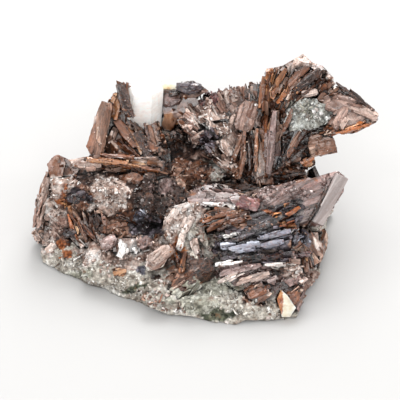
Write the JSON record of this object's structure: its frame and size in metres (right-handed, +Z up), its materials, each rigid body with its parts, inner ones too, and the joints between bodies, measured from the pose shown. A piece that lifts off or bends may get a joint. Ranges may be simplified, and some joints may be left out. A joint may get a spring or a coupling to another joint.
{
  "type": "axinite crystal specimen",
  "caption": "Mineral specimen: clusters of wedge-edged brown axinite blades and a white quartz prism grown on a flat-based block of pale green-grey matrix.",
  "frame": {"origin": "centre of the bounding box's bottom, on the flat foot", "axes": "+X along the long side to the wing of blades at the right end, +Y to the far side, +Z up from the foot"},
  "size_m": [0.0606, 0.0436, 0.0285],
  "materials": {
    "matrix": "dull broken green-grey rock with pale crusts",
    "brown_axinite": "glassy clove brown, striated, rust in the cracks",
    "dark_axinite": "glassy, near black with a pale sheen, striated",
    "tan_axinite": "glassy to satin, pinkish tan, finely striated",
    "feldspar": "satin cream with a rust-stained edge",
    "quartz": "glassy, milky white"
  },
  "bodies": {
    "root": {"matrix": "matrix", "green_chip": "matrix", "white_prism": "quartz", "cream_crystal": "feldspar", "cream_cap": "feldspar", "front_wedge": "tan_axinite", "front_plates": "tan_axinite", "corner_crystal": "tan_axinite", "left_edge_plates": "tan_axinite", "small_front_crystals": "tan_axinite", "upper_block": "tan_axinite", "front_blade": "dark_axinite", "step_stack": "dark_axinite", "slab_under_prism": "dark_axinite", "lying_blades": "dark_axinite", "right_low_fan": "dark_axinite", "great_wedge": "brown_axinite", "right_edge_blades": "brown_axinite", "ledge_blades": "brown_axinite", "cleft_blades": "brown_axinite", "grey_crystal": "brown_axinite", "upper_left_fan": "brown_axinite", "tall_blades": "brown_axinite", "right_spray": "brown_axinite", "back_left_fan": "brown_axinite", "back_middle_fan": "brown_axinite", "back_right_fan": "brown_axinite", "left_low_fan": "brown_axinite"}
  },
  "joints": []
}
